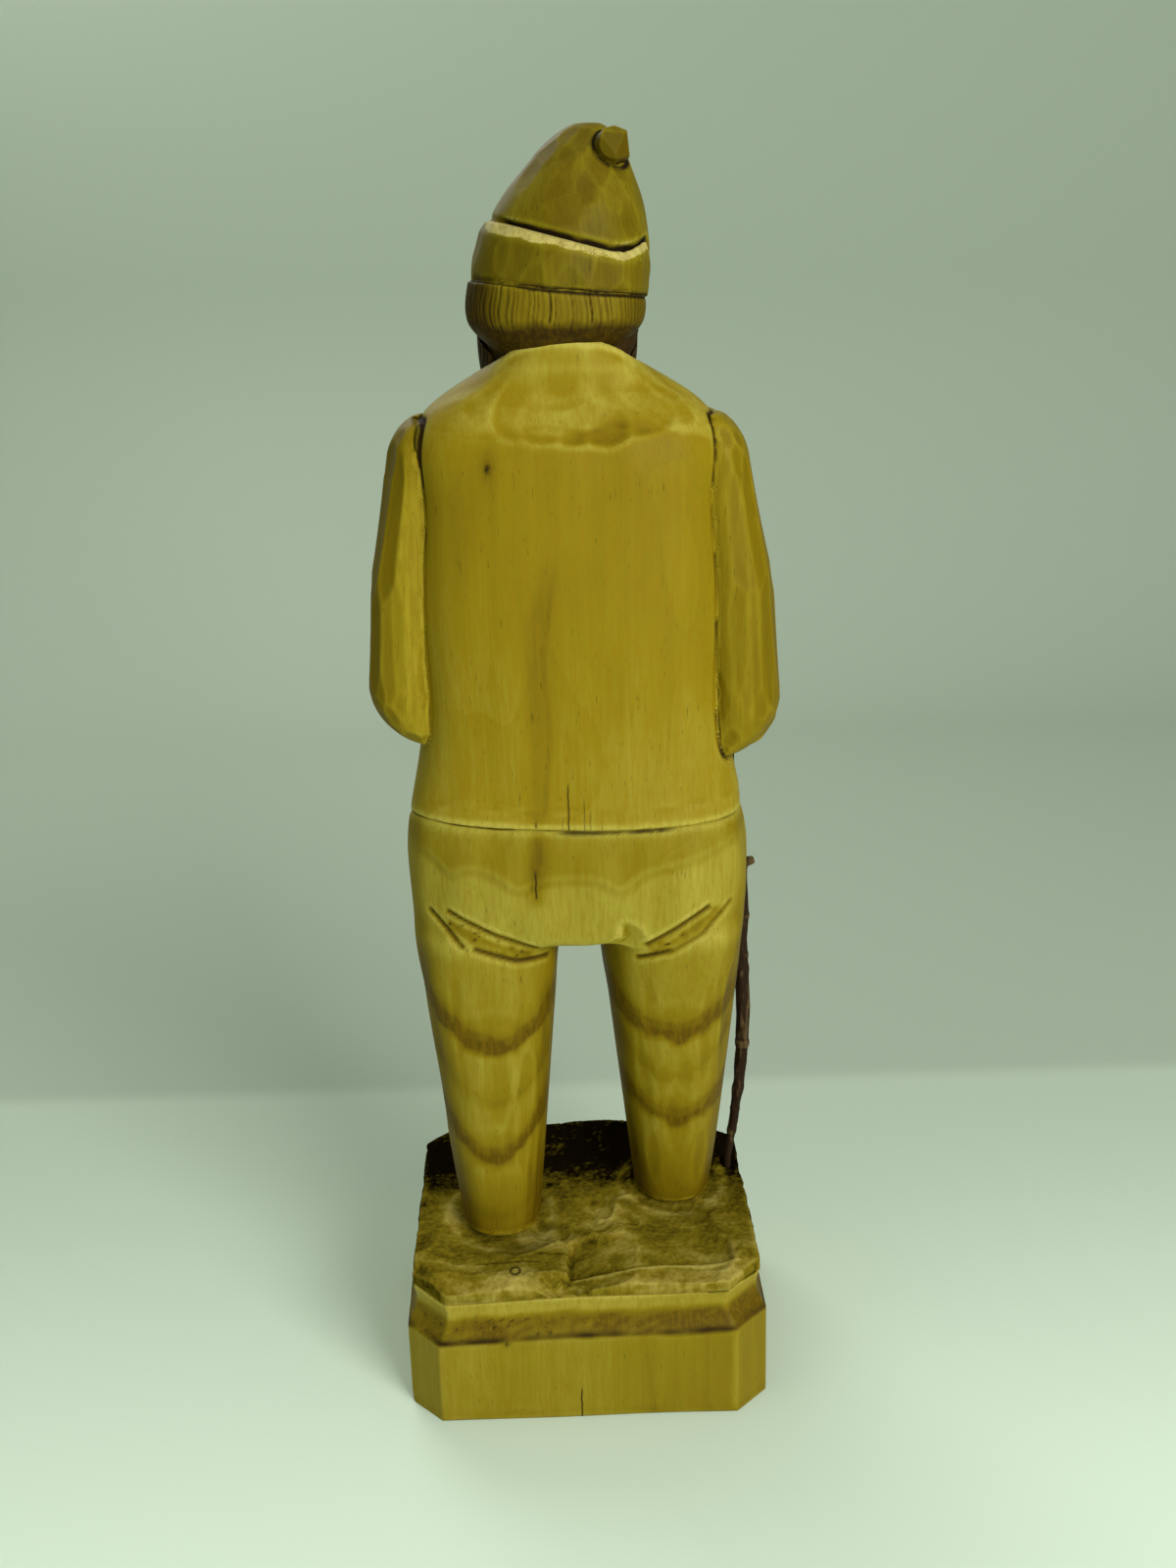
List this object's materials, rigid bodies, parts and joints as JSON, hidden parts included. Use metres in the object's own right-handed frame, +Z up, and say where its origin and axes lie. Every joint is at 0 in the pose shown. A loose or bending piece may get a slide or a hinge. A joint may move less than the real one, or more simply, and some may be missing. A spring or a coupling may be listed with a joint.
{
  "type": "carved wooden figurine",
  "caption": "Hand-carved wooden standing figure of a walker in a folk cap, with a loose twig walking stick, on a moulded plinth.",
  "frame": {"origin": "centre of the plinth's underside, on the surface it stands on", "axes": "+Z up, the figure faces -Y, its left hand is on +X"},
  "size_m": [0.0972, 0.08, 0.3004],
  "materials": {
    "plinth_wood": "bare carved limewood, sealed",
    "stained_ground": "dark brown wood stain, rubbed",
    "trouser_wood": "bare carved limewood, sealed",
    "shoe_wood": "dark brown wood stain",
    "face_wood": "bare carved limewood, sealed",
    "jacket_wood": "honey wood stain, satin",
    "hair_wood": "brown wood stain in gouged lines",
    "beard_wood": "dark brown wood stain",
    "cap_wood": "brown wood stain, satin",
    "sleeve_wood": "honey wood stain, satin",
    "hand_wood": "bare carved limewood, sealed",
    "twig_bark": "natural bark, dull"
  },
  "bodies": {
    "figure": {"plinth": "plinth_wood", "ground": "stained_ground", "trousers": "trouser_wood", "left_shoe": "shoe_wood", "right_shoe": "shoe_wood", "head": "face_wood", "jacket": "jacket_wood", "hair": "hair_wood", "beard": "beard_wood", "cap_band": "cap_wood", "cap_crown": "cap_wood", "cap_nub": "cap_wood", "left_sleeve": "sleeve_wood", "right_sleeve": "sleeve_wood", "left_hand": "hand_wood", "right_hand": "hand_wood"},
    "stick": {"walking_stick": "twig_bark"}
  },
  "joints": [
    {"name": "stick_lift", "type": "slide", "parent": "figure", "child": "stick", "axis": [0, 0, 1], "range_m": [0, 0.009]}
  ]
}
